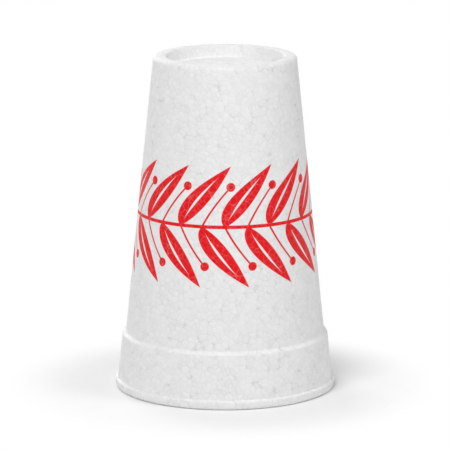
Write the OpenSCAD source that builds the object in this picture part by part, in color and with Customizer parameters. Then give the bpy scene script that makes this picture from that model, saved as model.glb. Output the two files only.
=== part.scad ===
// Foam cup, standing on its lip with the base up.
// It is one moulding: a single section turned about the Z axis, with the lip at Z = 0.

/* [Cup] */
// Height from the lip to the foot ring
height = 146; // [120:1:180]
// Outside diameter over the lip bead
lip_d = 96; // [90:1:110]
// Outside diameter at the foot ring
foot_d = 62; // [50:1:66]
// Thickness of the side wall
wall = 2.1; // [1.6:0.1:3]

/* [Lip] */
// Height of the bead that runs around the lip
bead_h = 4; // [3:0.1:6]
// How far the bead stands out from the lip band
bead_out = 1.2; // [0.6:0.1:1.4]
// Rounding of the lip's outer edge
lip_round = 1.6; // [0.4:0.1:1.6]

/* [Nesting] */
// Gap all round between the walls of two nested cups
nest_gap = 0.33; // [0.1:0.01:0.8]
// Width of the shoulder that carries the lip of the next cup
shoulder_w = 1.4; // [1:0.1:2]
// Height over which the shoulder slopes
shoulder_h = 1.2; // [0.6:0.1:2]

/* [Base] */
// Depth of the recess inside the foot ring
recess_depth = 5; // [2:0.5:10]
// Draft of the recess wall, in degrees
recess_draft = 12; // [5:1:25]
// Thickness of the base
base_t = 2.6; // [1.8:0.1:5]
// Width of the foot ring between its sharp corners
foot_w = 5.4; // [4:0.1:8]
// Rounding of the foot ring's outer edge
foot_round = 1.8; // [0.5:0.1:2.5]
// Rounding inside the cup, between the wall and the floor
floor_round = 5; // [1:0.5:10]
// Diameter of the round mark where the mould was filled
gate_d = 11; // [6:0.5:20]
// Height of that mark above the base
gate_h = 0.5; // [0.2:0.1:1.5]

/* [Edges] */
// Rounding of the smaller edges and corners
edge_round = 0.8; // [0.3:0.1:1.2]

/* [Hidden] */
// Sides of a full turn, and the largest step along a rounding in degrees
$fn = 180;
arc_step = 7.5;

// The side wall is one straight taper from behind the bead to the foot ring
taper = (lip_d / 2 - bead_out - shoulder_w - foot_d / 2) / (height - bead_h);
wall_across = wall * sqrt(1 + taper * taper);
// Cups nest at the pitch where the taper has made room for the wall and the gap
pitch = (wall_across + nest_gap) / taper;
shoulder_top = pitch + shoulder_h / 2;
shoulder_bottom = pitch - shoulder_h / 2;
base_z = height - recess_depth;
floor_z = base_z - base_t;
foot_inner_r = foot_d / 2 - foot_w;
recess_r = foot_inner_r - recess_depth * tan(recess_draft);

function wall_r(z) = foot_d / 2 + taper * (height - z);
function band_r(z) = wall_r(z) + shoulder_w;
function inner_r(z) = wall_r(z) - wall_across;

// The section's corners as [radius, height, rounding], from the base's centre round to the floor's
corners = [
    [0, base_z + gate_h, 0],
    [gate_d / 2, base_z + gate_h, gate_h / 2],
    [gate_d / 2, base_z, gate_h / 2],
    [recess_r, base_z, edge_round],
    [foot_inner_r, height, edge_round],
    [foot_d / 2, height, foot_round],
    [wall_r(shoulder_top), shoulder_top, edge_round],
    [band_r(shoulder_bottom), shoulder_bottom, edge_round],
    [band_r(bead_h), bead_h, edge_round / 2],
    [lip_d / 2, bead_h, bead_out],
    [lip_d / 2, 0, lip_round],
    [inner_r(0), 0, edge_round],
    [inner_r(floor_z), floor_z, floor_round],
    [0, floor_z, 0],
];

function point(corner) = [corner[0], corner[1]];
function unit(v) = v / norm(v);
function turned(v, angle) = [
    v[0] * cos(angle) - v[1] * sin(angle),
    v[0] * sin(angle) + v[1] * cos(angle),
];

// The most of a side that a rounding may take: two neighbours share it in proportion
function share(here, other) =
    norm(point(other) - point(here)) * here[2] / (here[2] + other[2]);

// Points of the arc that rounds a corner between its two neighbours
function rounded(before, here, after) =
    let (
        to_before = unit(point(before) - point(here)),
        to_after = unit(point(after) - point(here)),
        half = acos(to_before * to_after) / 2,
        reach = min(here[2] / tan(half), share(here, before), share(here, after)),
        centre = point(here) + unit(to_before + to_after) * reach / cos(half),
        start = point(here) + to_before * reach - centre,
        sweep = (180 - 2 * half) * sign(cross(to_after, to_before)),
        steps = ceil(abs(sweep) / arc_step)
    )
    [for (i = [0 : steps]) centre + turned(start, sweep * i / steps)];

// The outline through a closed list of corners, with each rounding worked in
function section(list) = [
    for (i = [0 : len(list) - 1])
        let (
            before = list[(i + len(list) - 1) % len(list)],
            after = list[(i + 1) % len(list)]
        )
        each list[i][2] > 0 ? rounded(before, list[i], after) : [point(list[i])],
];

module cup() {
    color("white")
        rotate_extrude()
            polygon(section(corners));
}

cup();
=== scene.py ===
# %% [markdown]
# # A foam cup in Blender
# A foam cup starts as loose polystyrene beads. They are blown into a metal mould, swelled with
# steam until they press flat against each other and against the mould, and cooled. The result is
# one light moulding, white and faintly satin, in which every bead can still be made out.
#
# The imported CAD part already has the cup's true section. This lesson turns that section again in
# finer steps, gives it a foam surface and a printed band, and photographs it in a white studio.

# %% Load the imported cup
import math

import bpy
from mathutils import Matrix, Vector


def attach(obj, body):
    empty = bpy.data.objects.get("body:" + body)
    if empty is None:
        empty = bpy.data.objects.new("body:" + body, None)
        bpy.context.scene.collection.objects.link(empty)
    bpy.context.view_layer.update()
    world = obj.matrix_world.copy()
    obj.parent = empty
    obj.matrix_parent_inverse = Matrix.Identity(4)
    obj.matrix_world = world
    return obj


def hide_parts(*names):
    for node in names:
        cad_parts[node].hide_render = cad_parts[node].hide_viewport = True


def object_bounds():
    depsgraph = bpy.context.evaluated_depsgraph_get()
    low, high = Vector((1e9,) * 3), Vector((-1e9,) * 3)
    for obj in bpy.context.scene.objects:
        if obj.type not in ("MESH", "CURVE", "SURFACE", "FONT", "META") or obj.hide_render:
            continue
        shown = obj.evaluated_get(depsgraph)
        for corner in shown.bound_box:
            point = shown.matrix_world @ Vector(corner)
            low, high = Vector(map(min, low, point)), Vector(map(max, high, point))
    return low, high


MM = 0.001
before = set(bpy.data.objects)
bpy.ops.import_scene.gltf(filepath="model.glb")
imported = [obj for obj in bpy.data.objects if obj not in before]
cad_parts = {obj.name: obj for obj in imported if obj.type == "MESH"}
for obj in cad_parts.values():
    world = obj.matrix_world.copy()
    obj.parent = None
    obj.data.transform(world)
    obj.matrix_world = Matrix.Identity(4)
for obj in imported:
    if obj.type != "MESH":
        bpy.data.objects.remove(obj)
cad_low, cad_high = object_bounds()
HEIGHT = cad_high.z
print(f"the cup is {HEIGHT / MM:.1f} mm tall and {2 * cad_high.x / MM:.1f} mm over its lip")

# %% [markdown]
# ## The camera
# A long lens from well back keeps the sides of a tall cup nearly straight, as a product picture
# does. The camera looks down a little, so the foot ring that the cup stands on in use shows as an
# ellipse on top, with the recessed base inside it. The lens follows from the distance and from the
# height that the picture takes in, so the framing stays put if the distance is changed.

# %% Set the camera
CAMERA_DISTANCE = 1.7
CAMERA_DOWN = math.radians(12)
PICTURE_HEIGHT = 0.196
AIM_HEIGHT = 0.071

camera_data = bpy.data.cameras.new("camera")
camera_data.lens = camera_data.sensor_width * CAMERA_DISTANCE / PICTURE_HEIGHT
camera = bpy.data.objects.new("camera", camera_data)
bpy.context.collection.objects.link(camera)
aim = Vector((0, 0, AIM_HEIGHT))
back = Vector((0, -math.cos(CAMERA_DOWN), math.sin(CAMERA_DOWN)))
camera.location = aim + back * CAMERA_DISTANCE
camera.rotation_euler = (-back).to_track_quat("-Z", "Y").to_euler()
bpy.context.scene.camera = camera
print(f"lens {camera_data.lens:.0f} mm")

# %% [markdown]
# ## Cutting out the section
# The cup is a solid of revolution, so half of one slice through its axis says everything about
# its shape. Such a profile could be drawn point by point, but the CAD mesh already holds it
# exactly. A merged copy is bisected by the XZ plane with both sides cleared, which leaves only the
# cut, and a second bisection drops the half beyond the axis. What is left is one open chain of
# edges, from the middle of the base round the lip to the middle of the floor.

# %% Bisect a copy of the cup
MERGE = 0.001 * MM
ON_PLANE = 0.0001 * MM

bpy.ops.object.select_all(action="DESELECT")
cup = bpy.data.objects.new("foam_cup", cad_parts["cup"].data.copy())
bpy.context.collection.objects.link(cup)
bpy.context.view_layer.objects.active = cup
cup.select_set(True)
bpy.ops.mesh.customdata_custom_splitnormals_clear()

bpy.ops.object.mode_set(mode="EDIT")
bpy.ops.mesh.select_mode(type="EDGE")
bpy.ops.mesh.select_all(action="SELECT")
bpy.ops.mesh.remove_doubles(threshold=MERGE)
bpy.ops.mesh.bisect(plane_co=(0, 0, 0), plane_no=(0, 1, 0),
                    clear_inner=True, clear_outer=True, threshold=ON_PLANE)
bpy.ops.mesh.select_all(action="SELECT")
bpy.ops.mesh.bisect(plane_co=(0, 0, 0), plane_no=(1, 0, 0),
                    clear_inner=True, threshold=ON_PLANE)
bpy.ops.object.mode_set(mode="OBJECT")
print(f"the section has {len(cup.data.vertices)} points and {len(cup.data.edges)} edges")

# %% [markdown]
# ## Evening out the points
# The roundings have many short edges, but each wall is one edge over 100 mm long. Smooth shading
# blends normals along an edge, so on such a long one the bend at a rounding would spread over the
# whole wall as a false gradient. Halving the long edges until none is longer than a few
# millimetres keeps the blend where it belongs.

# %% Subdivide the long edges
LONGEST_EDGE = 3 * MM


def edge_length(edge):
    start, end = (cup.data.vertices[i].co for i in edge.vertices)
    return (end - start).length


while any(edge_length(edge) > LONGEST_EDGE for edge in cup.data.edges):
    for edge in cup.data.edges:
        edge.select = edge_length(edge) > LONGEST_EDGE
    bpy.ops.object.mode_set(mode="EDIT")
    bpy.ops.mesh.subdivide(number_cuts=1)
    bpy.ops.object.mode_set(mode="OBJECT")
print(f"evened out to {len(cup.data.vertices)} points")

# %% [markdown]
# ## Measuring the outside wall
# The print lies only on the outside of the side wall, so its mask needs the wall's straight line.
# Two points of the section give it: at a given height, the outside is the point with the largest
# radius.

# %% Find the wall's taper
LOWER_MARK, UPPER_MARK = 0.3 * HEIGHT, 0.9 * HEIGHT


def outside_near(height):
    near = [v.co for v in cup.data.vertices if abs(v.co.z - height) < LONGEST_EDGE]
    return max(near, key=lambda point: point.x)


low_point, high_point = outside_near(LOWER_MARK), outside_near(UPPER_MARK)
TAPER = (low_point.x - high_point.x) / (high_point.z - low_point.z)
MOUTH_RADIUS = low_point.x + TAPER * low_point.z
print(f"the wall leans in {math.degrees(math.atan(TAPER)):.2f} degrees")

# %% [markdown]
# ## Turning the cup
# Spin works as a lathe: it sweeps the section about the Z axis and leaves a face behind every edge.
# A Screw modifier could turn it too, but Spin leaves a plain mesh that can be put right at once. A
# full turn ends where it began, and both ends of the chain lie on the axis, so the doubles are
# merged to close the seam and the two poles. Only then can the normals be made to point outwards.

# %% Spin the section
TURN_STEPS = 256
SMOOTH_ANGLE = math.radians(35)

bpy.ops.object.mode_set(mode="EDIT")
bpy.ops.mesh.select_all(action="SELECT")
bpy.ops.mesh.spin(steps=TURN_STEPS, angle=2 * math.pi, center=(0, 0, 0), axis=(0, 0, 1))
bpy.ops.mesh.select_all(action="SELECT")
bpy.ops.mesh.remove_doubles(threshold=MERGE)
bpy.ops.mesh.normals_make_consistent(inside=False)
bpy.ops.object.mode_set(mode="OBJECT")
bpy.ops.object.shade_smooth_by_angle(angle=SMOOTH_ANGLE)
triangles = sum(len(face.vertices) - 2 for face in cup.data.polygons)
print(f"the turned cup has {triangles} triangles")

# %% [markdown]
# ## Shader sums as Python
# A procedural finish is mostly arithmetic on coordinates. Drawn by hand that is a cobweb of Math
# nodes, so one small class wraps a socket and adds those nodes for it: `1 - mask` or
# `x * x + y * y` then reads as the sum that it is. Every other kind of node comes from its `node`
# method.

# %% The Wire class


class Wire:
    """A socket in a node tree. Arithmetic on it adds Math nodes."""

    def __init__(self, tree, socket=None):
        self.tree = tree
        self.socket = socket

    def node(self, kind, settings=None, sockets=None, output=0):
        """Adds a node: settings first, then a value or a link for each named socket."""
        made = self.tree.nodes.new("ShaderNode" + kind)
        for name, value in (settings or {}).items():
            setattr(made, name, value)
        for name, value in (sockets or {}).items():
            if isinstance(value, Wire):
                self.tree.links.new(value.socket, made.inputs[name])
            else:
                made.inputs[name].default_value = value
        return Wire(self.tree, made.outputs[output]) if made.outputs else made

    def output(self, name):
        """Another output of the node that this socket is on."""
        return Wire(self.tree, self.socket.node.outputs[name])

    def math(self, operation, *values):
        return self.node("Math", {"operation": operation}, dict(enumerate((self, *values))))

    def reflected(self, operation, first):
        return self.node("Math", {"operation": operation}, {0: first, 1: self})

    def __add__(self, other):
        return self.math("ADD", other)

    __radd__ = __add__

    def __sub__(self, other):
        return self.math("SUBTRACT", other)

    def __rsub__(self, other):
        return self.reflected("SUBTRACT", other)

    def __mul__(self, other):
        return self.math("MULTIPLY", other)

    __rmul__ = __mul__

    def __truediv__(self, other):
        return self.math("DIVIDE", other)

    def __rtruediv__(self, other):
        return self.reflected("DIVIDE", other)

    def __pow__(self, other):
        return self.math("POWER", other)

    def __rpow__(self, other):
        return self.reflected("POWER", other)

    def __lt__(self, other):
        return self.math("LESS_THAN", other)

    def __gt__(self, other):
        return self.math("GREATER_THAN", other)

    def __abs__(self):
        return self.math("ABSOLUTE")

    def either(self, other):
        return self.math("MAXIMUM", other)

    def fade(self, low, high):
        """A smooth step from 0 at low to 1 at high."""
        return self.node("MapRange", {"interpolation_type": "SMOOTHSTEP"},
                         {"Value": self, "From Min": low, "From Max": high})


print("Wire is ready")

# %% [markdown]
# ## Starting the foam
# A finish has to stay put on the cup from every side. Object coordinates do that: they are the
# cup's own, in metres, with no unwrapping and no stretch. Scaled up to millimetres, they let every
# size in the finish be written as it would be measured.

# %% An empty material, and places in millimetres


def new_tree(owner):
    """An empty node tree on a material or a world, as a Wire with no socket yet."""
    owner.use_nodes = True
    owner.node_tree.nodes.clear()
    return Wire(owner.node_tree)


foam = bpy.data.materials.new("bead_foam")
foam_nodes = new_tree(foam)
place = foam_nodes.node("TexCoord", output="Object")
place_mm = foam_nodes.node("VectorMath", {"operation": "SCALE"}, {0: place, "Scale": 1 / MM})
print("bead_foam reads its places in millimetres")

# %% [markdown]
# ## Beads in the foam
# Swelled beads fill the mould as cells that meet in flat walls, which is just what a Voronoi
# texture draws. Modelled one by one they would take hundreds of thousands of faces, for a relief of
# a fifth of a millimetre at most, so they are left to the material. The texture's colour gives each
# bead a number of its own, and two distances say where a place lies on its bead: how far it is from
# the middle, and how far from the nearest cell wall. The texture measures both in cells, so they
# are brought back to millimetres. The cells are cut from a solid 3-D pattern, so they run unbroken
# over the wall, the lip and the base. A little noise bends their walls, because real beads are
# never quite alike.

# %% Bead cells
BEAD_SIZE = 2.4
BEAD_BEND = 0.8
BEAD_RANDOMNESS = 0.9

bend = foam_nodes.node("TexNoise", {}, {"Vector": place_mm, "Scale": 1 / BEAD_SIZE, "Detail": 1.0},
                       output="Color")
bent = foam_nodes.node("VectorMath", {"operation": "MULTIPLY_ADD"},
                       {0: bend, 1: (BEAD_BEND,) * 3, 2: place_mm})
cells = {"Vector": bent, "Scale": 1 / BEAD_SIZE, "Randomness": BEAD_RANDOMNESS}
bead_colour = foam_nodes.node("TexVoronoi", {"feature": "F1"}, cells, output="Color")
bead_number = foam_nodes.node("SeparateColor", {}, {"Color": bead_colour}, output="Red")
bead_middle = bead_colour.output("Distance") * BEAD_SIZE
cell_edge = foam_nodes.node("TexVoronoi", {"feature": "DISTANCE_TO_EDGE"}, cells, output="Distance")
bead_edge = cell_edge * BEAD_SIZE
print(f"beads about {BEAD_SIZE} mm across")

# %% [markdown]
# Fades turn these distances into the form of the foam. A seam is the fine line where two beads
# meet. Some seams are pressed shut and some stay a little open, so a slow noise thins them out in
# patches. A dome is the slight swell of the bead between its seams. A pit is the tiny hole that is
# left in a corner between three beads. Such a corner is on a seam and as far as can be from the
# middle of every bead, so the two distances find it together.

# %% Seams, domes and pits
SEAM_HALF = 0.34
SEAM_LEAST = 0.3
SEAM_SHUT, SEAM_OPEN = 0.38, 0.66
DOME_RISE = 0.85
PIT_HALF = 0.42
PIT_CORNER = (1.78, 2.26)
PATCH_SIZE = 5.0

patches = foam_nodes.node("TexNoise", {},
                          {"Vector": place_mm, "Scale": 1 / PATCH_SIZE, "Detail": 3.0})
openness = SEAM_LEAST + patches.fade(SEAM_SHUT, SEAM_OPEN) * (1 - SEAM_LEAST)
bead_seam = (1 - bead_edge.fade(0, SEAM_HALF)) * openness
bead_dome = bead_edge.fade(0, DOME_RISE)
bead_pit = (1 - bead_edge.fade(0, PIT_HALF)) * bead_middle.fade(*PIT_CORNER)
print(f"seams at most {2 * SEAM_HALF:.2f} mm wide")

# %% [markdown]
# ## The printed band
# The cup carries one colour of ink, laid on by a rubber roller. The band here is a plain leafy
# garland: slanting leaves above and below a thin stem, with berries between them. A picture could
# be wrapped round the wall, but sums keep every edge sharp and need no unwrapping. The angle round
# the axis, times the radius, is a distance along the wall. Dividing that by the spacing of the
# leaves and keeping the fraction gives every leaf its own small coordinate, which starts afresh at
# each one. Sliding it sideways with height slants the leaves, and the row below the stem is set
# half a spacing further on.

# %% Coordinates on the wall
LEAF_COUNT = 12
BAND_MIDDLE = 78
LEAF_LEAN = 0.5
LEAF_CURL = 0.012

axes = foam_nodes.node("SeparateXYZ", {}, {0: place_mm}, output="X")
x, y, z = (axes.output(axis) for axis in "XYZ")
radius = (x * x + y * y) ** 0.5
share_of_turn = y.math("ARCTAN2", x) / (2 * math.pi)
spacing = radius * (2 * math.pi / LEAF_COUNT)
above = z - BAND_MIDDLE
off_stem = abs(above)
is_below = above < 0


def lean_at(height):
    """How far a leaf has slid sideways at a height above the stem, in mm."""
    return height * LEAF_LEAN + height * height * LEAF_CURL


def across_leaf(shift):
    """The distance to the middle line of the nearest leaf, or of the gap if shift is a half."""
    count = share_of_turn * LEAF_COUNT - lean_at(off_stem) / spacing + is_below * 0.5 + (shift + 0.5)
    return (count.math("FRACT") - 0.5) * spacing


across = across_leaf(0)
across_gap = across_leaf(0.5)
print(f"{LEAF_COUNT} leaves on each side of the stem")

# %% [markdown]
# A leaf is where the distance to its middle line is less than its half width, which swells and
# shrinks along its length. A thin rib, with points at both ends, stays white in the same way. Both
# follow s (1 - s), which is a quarter at most, so it is taken four times. Ink creeps a little, so
# every outline is softened over a fraction of a millimetre.

# %% Leaves
INK_CREEP = 0.12
LEAF_HEIGHT = 26
LEAF_HALF_WIDTH = 5.4
LEAF_SWELL = 0.8
RIB_HALF_WIDTH = 0.8
RIB_ENDS = (0.02, 0.9)


def inked(distance):
    """1 inside an outline and 0 outside it, from the distance past it in mm."""
    return distance.fade(INK_CREEP, -INK_CREEP)


along = (off_stem / LEAF_HEIGHT).math("MINIMUM", 1.0)
swell = along ** LEAF_SWELL
leaf_half = swell * (1 - swell) * (4 * LEAF_HALF_WIDTH)
leaf = inked(abs(across) - leaf_half) * (along < 1)
rib_share = along.fade(*RIB_ENDS)
rib_half = rib_share * (1 - rib_share) * (4 * RIB_HALF_WIDTH)
rib = inked(abs(across) + INK_CREEP - rib_half)
print(f"leaves {LEAF_HEIGHT} mm high")

# %% [markdown]
# A berry is a circle in the gap between two leaves, on a stalk that leans as they do, and the stem
# is a ring round the cup. The largest of the masks is the whole garland. It is kept to the outside
# of the wall, because the same angle and height are found on the inside too.

# %% Berries, stem and the whole garland
BERRY_RADIUS = 1.9
BERRY_HEIGHT = 17
STALK_HALF = 0.5
STEM_HALF = 0.75
WALL_MARGIN = 1.0

berry_side = across_gap + lean_at(off_stem) - lean_at(BERRY_HEIGHT)
berry_up = off_stem - BERRY_HEIGHT
berry = inked((berry_side * berry_side + berry_up * berry_up) ** 0.5 - BERRY_RADIUS)
stalk = inked(abs(across_gap) - STALK_HALF) * (off_stem < BERRY_HEIGHT)
stem = inked(off_stem - STEM_HALF)
garland = (leaf * (1 - rib)).either(berry).either(stalk).either(stem)
wall_radius = MOUTH_RADIUS / MM - z * TAPER
ink = garland * (radius > wall_radius - WALL_MARGIN)
print("the garland is drawn")

# %% [markdown]
# ## Foam and ink
# White foam isn't one even white. Each bead is a touch lighter or darker than the next, and whole
# patches differ a little. The seams and pits are darkened as painted shade, standing in for the
# light lost in those hollows. A sum of these mixes a pale and a deeper foam colour. Ink is mixed in
# over that. No two beads take quite the same ink, and it is thinner in the seams and pits, which the
# roller doesn't quite reach into.

# %% Colours
FOAM_PALE = (0.90, 0.90, 0.90, 1)
FOAM_DEEP = (0.70, 0.70, 0.71, 1)
INK_RED = (0.82, 0.003, 0.008, 1)
BEAD_SHADE = 0.20
# The seam and pit amounts below are painted shade: they grey the foam colour where light is lost in
# those hollows.
SEAM_PAINTED_SHADE = 0.34
PIT_PAINTED_SHADE = 0.42
PATCH_SHADE = 0.10
INK_LOST_IN_SEAMS = 0.07
INK_LOST_IN_PITS = 0.1
INK_LOST_ON_BEADS = 0.006


def mix_colours(wire, factor, first, second):
    return wire.node("Mix", {"data_type": "RGBA"},
                     {"Factor": factor, 6: first, 7: second}, output=2)


# Bead and patch terms are the foam's own random tone; the seam and pit terms are painted shade.
tone_and_painted_shade = bead_number * BEAD_SHADE + bead_seam * SEAM_PAINTED_SHADE + bead_pit * PIT_PAINTED_SHADE
foam_colour = mix_colours(foam_nodes, tone_and_painted_shade + patches * PATCH_SHADE, FOAM_PALE, FOAM_DEEP)
ink_in_hollows = (1 - bead_seam * INK_LOST_IN_SEAMS) * (1 - bead_pit * INK_LOST_IN_PITS)
ink_cover = ink * ink_in_hollows * (1 - bead_number * INK_LOST_ON_BEADS)
colour = mix_colours(foam_nodes, ink_cover, foam_colour, INK_RED)
print("foam and ink are mixed")

# %% [markdown]
# ## The skin
# Where the beads were pressed against the mould they have a faintly satin skin, duller along the
# seams and a little glossier under ink. Foam also scatters light inside itself, so its shadows are
# soft and it never looks quite flat: a little subsurface weight does that. The bump is in
# millimetres, so the swell of the beads and the depth of the pits are true to size.

# %% Assemble the foam material
SKIN_ROUGH = 0.46
BEAD_ROUGH = 0.12
SEAM_ROUGH = 0.15
INK_GLOSS = 0.06
BEAD_RELIEF = 0.08
PIT_DEPTH = 0.11
SCATTER_REACH = 2 * MM

roughness = SKIN_ROUGH + bead_number * BEAD_ROUGH + bead_seam * SEAM_ROUGH - ink * INK_GLOSS
relief = bead_dome * BEAD_RELIEF - bead_pit * PIT_DEPTH
bump = foam_nodes.node("Bump", {}, {"Height": relief, "Distance": MM, "Strength": 1.0})
surface = foam_nodes.node("BsdfPrincipled", {"subsurface_method": "RANDOM_WALK"}, {
    "Base Color": colour, "Roughness": roughness, "Normal": bump, "IOR": 1.45,
    "Specular IOR Level": 0.2, "Subsurface Weight": 0.15,
    "Subsurface Radius": (1, 1, 1), "Subsurface Scale": SCATTER_REACH})
foam_nodes.node("OutputMaterial", {}, {"Surface": surface})

cup.data.materials.clear()
cup.data.materials.append(foam)
print(f"bead_foam has {len(foam.node_tree.nodes)} nodes")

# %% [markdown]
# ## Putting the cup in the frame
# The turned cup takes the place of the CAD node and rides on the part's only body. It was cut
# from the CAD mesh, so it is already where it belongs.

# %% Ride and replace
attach(cup, "root")
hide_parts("cup")
print("foam_cup stands for the CAD node cup")

# %% [markdown]
# ## A white studio
# The floor is a plain pale sheet. Lit only by the lamps it would come out grey further off, so
# the camera sees it glow to white away from the cup, while close by it keeps the soft shadow that
# sets the cup down. Light Path decides what glows: camera, glossy and transmission rays see the
# white, and the light that reaches the cup stays as it was.

# %% Floor
FLOOR_SIZE = 8
FLOOR_PALE = (0.92, 0.92, 0.92, 1)
SHADOW_REACH = (0.05, 0.098)


def seen_rays(wire):
    """1 for camera, glossy and transmission rays, and 0 for the light that falls on things."""
    path = wire.node("LightPath", output="Is Camera Ray")
    return path.either(path.output("Is Glossy Ray")).either(path.output("Is Transmission Ray"))


bpy.ops.object.select_all(action="DESELECT")
bpy.ops.mesh.primitive_plane_add(size=FLOOR_SIZE)
floor = bpy.context.object
floor.name = "floor"

paper = bpy.data.materials.new("white_paper")
paper_nodes = new_tree(paper)
floor_place = paper_nodes.node("TexCoord", output="Object")
from_middle = paper_nodes.node("VectorMath", {"operation": "LENGTH"}, {0: floor_place}, output="Value")
far = from_middle.fade(*SHADOW_REACH)
lit = paper_nodes.node("BsdfDiffuse", {}, {"Color": FLOOR_PALE})
white = paper_nodes.node("Emission", {}, {"Strength": 1.0})
whole = paper_nodes.node("MixShader", {}, {"Fac": far * seen_rays(paper_nodes), 1: lit, 2: white})
paper_nodes.node("OutputMaterial", {}, {"Surface": whole})
floor.data.materials.append(paper)
print("the floor fades to white around the cup")

# %% [markdown]
# The world is the room around the studio. It looks white in the same way, but it lights the cup
# much less than that, as pale walls would, so that no side of the cup falls into a deep grey.

# %% World
AMBIENT = 0.3

world = bpy.data.worlds.new("white_world")
bpy.context.scene.world = world
world_nodes = new_tree(world)
strength = AMBIENT + seen_rays(world_nodes) * (1 - AMBIENT)
glow = world_nodes.node("Background", {}, {"Strength": strength})
world_nodes.node("OutputWorld", {}, {"Surface": glow})
print(f"the world lights the cup at {AMBIENT} of white")

# %% [markdown]
# ## Three soft lamps
# A white thing in a white studio is drawn by its shading alone. The key lamp is a large soft box
# in front of the cup, to the left and high up: it models the roundness, and ledges that face up,
# such as the shoulder and the lip, catch it as bright lines. A weaker box on the right opens up
# the shade, and a third one behind lights the far side and brings the soft shadow forward. Each
# level says how bright a white card that faces the lamp would be, where 1 is white, so the levels
# can be added up by eye and kept below the point where the foam would clip.

# %% Soft boxes
LAMP_AWAY = 1.5


def soft_box(name, turn, rise, size, level):
    """An area lamp, turned from the camera's side and raised by degrees, aimed at the cup."""
    light = bpy.data.lights.new(name, "AREA")
    light.shape = "RECTANGLE"
    light.size, light.size_y = size
    light.energy = level * (math.pi * LAMP_AWAY) ** 2
    turn, rise = math.radians(turn), math.radians(rise)
    sideways, forwards = math.sin(turn) * math.cos(rise), math.cos(turn) * math.cos(rise)
    towards = Vector((sideways, -forwards, math.sin(rise)))
    lamp = bpy.data.objects.new(name, light)
    lamp.location = aim + towards * LAMP_AWAY
    lamp.rotation_euler = (-towards).to_track_quat("-Z", "Y").to_euler()
    bpy.context.collection.objects.link(lamp)


soft_box("left_box", turn=-26, rise=52, size=(0.7, 0.9), level=0.6)
soft_box("right_box", turn=66, rise=35, size=(0.6, 0.9), level=0.26)
soft_box("back_box", turn=203, rise=22, size=(0.7, 0.9), level=0.38)
bpy.context.scene.view_settings.view_transform = "Standard"
print("three lamps are lit")
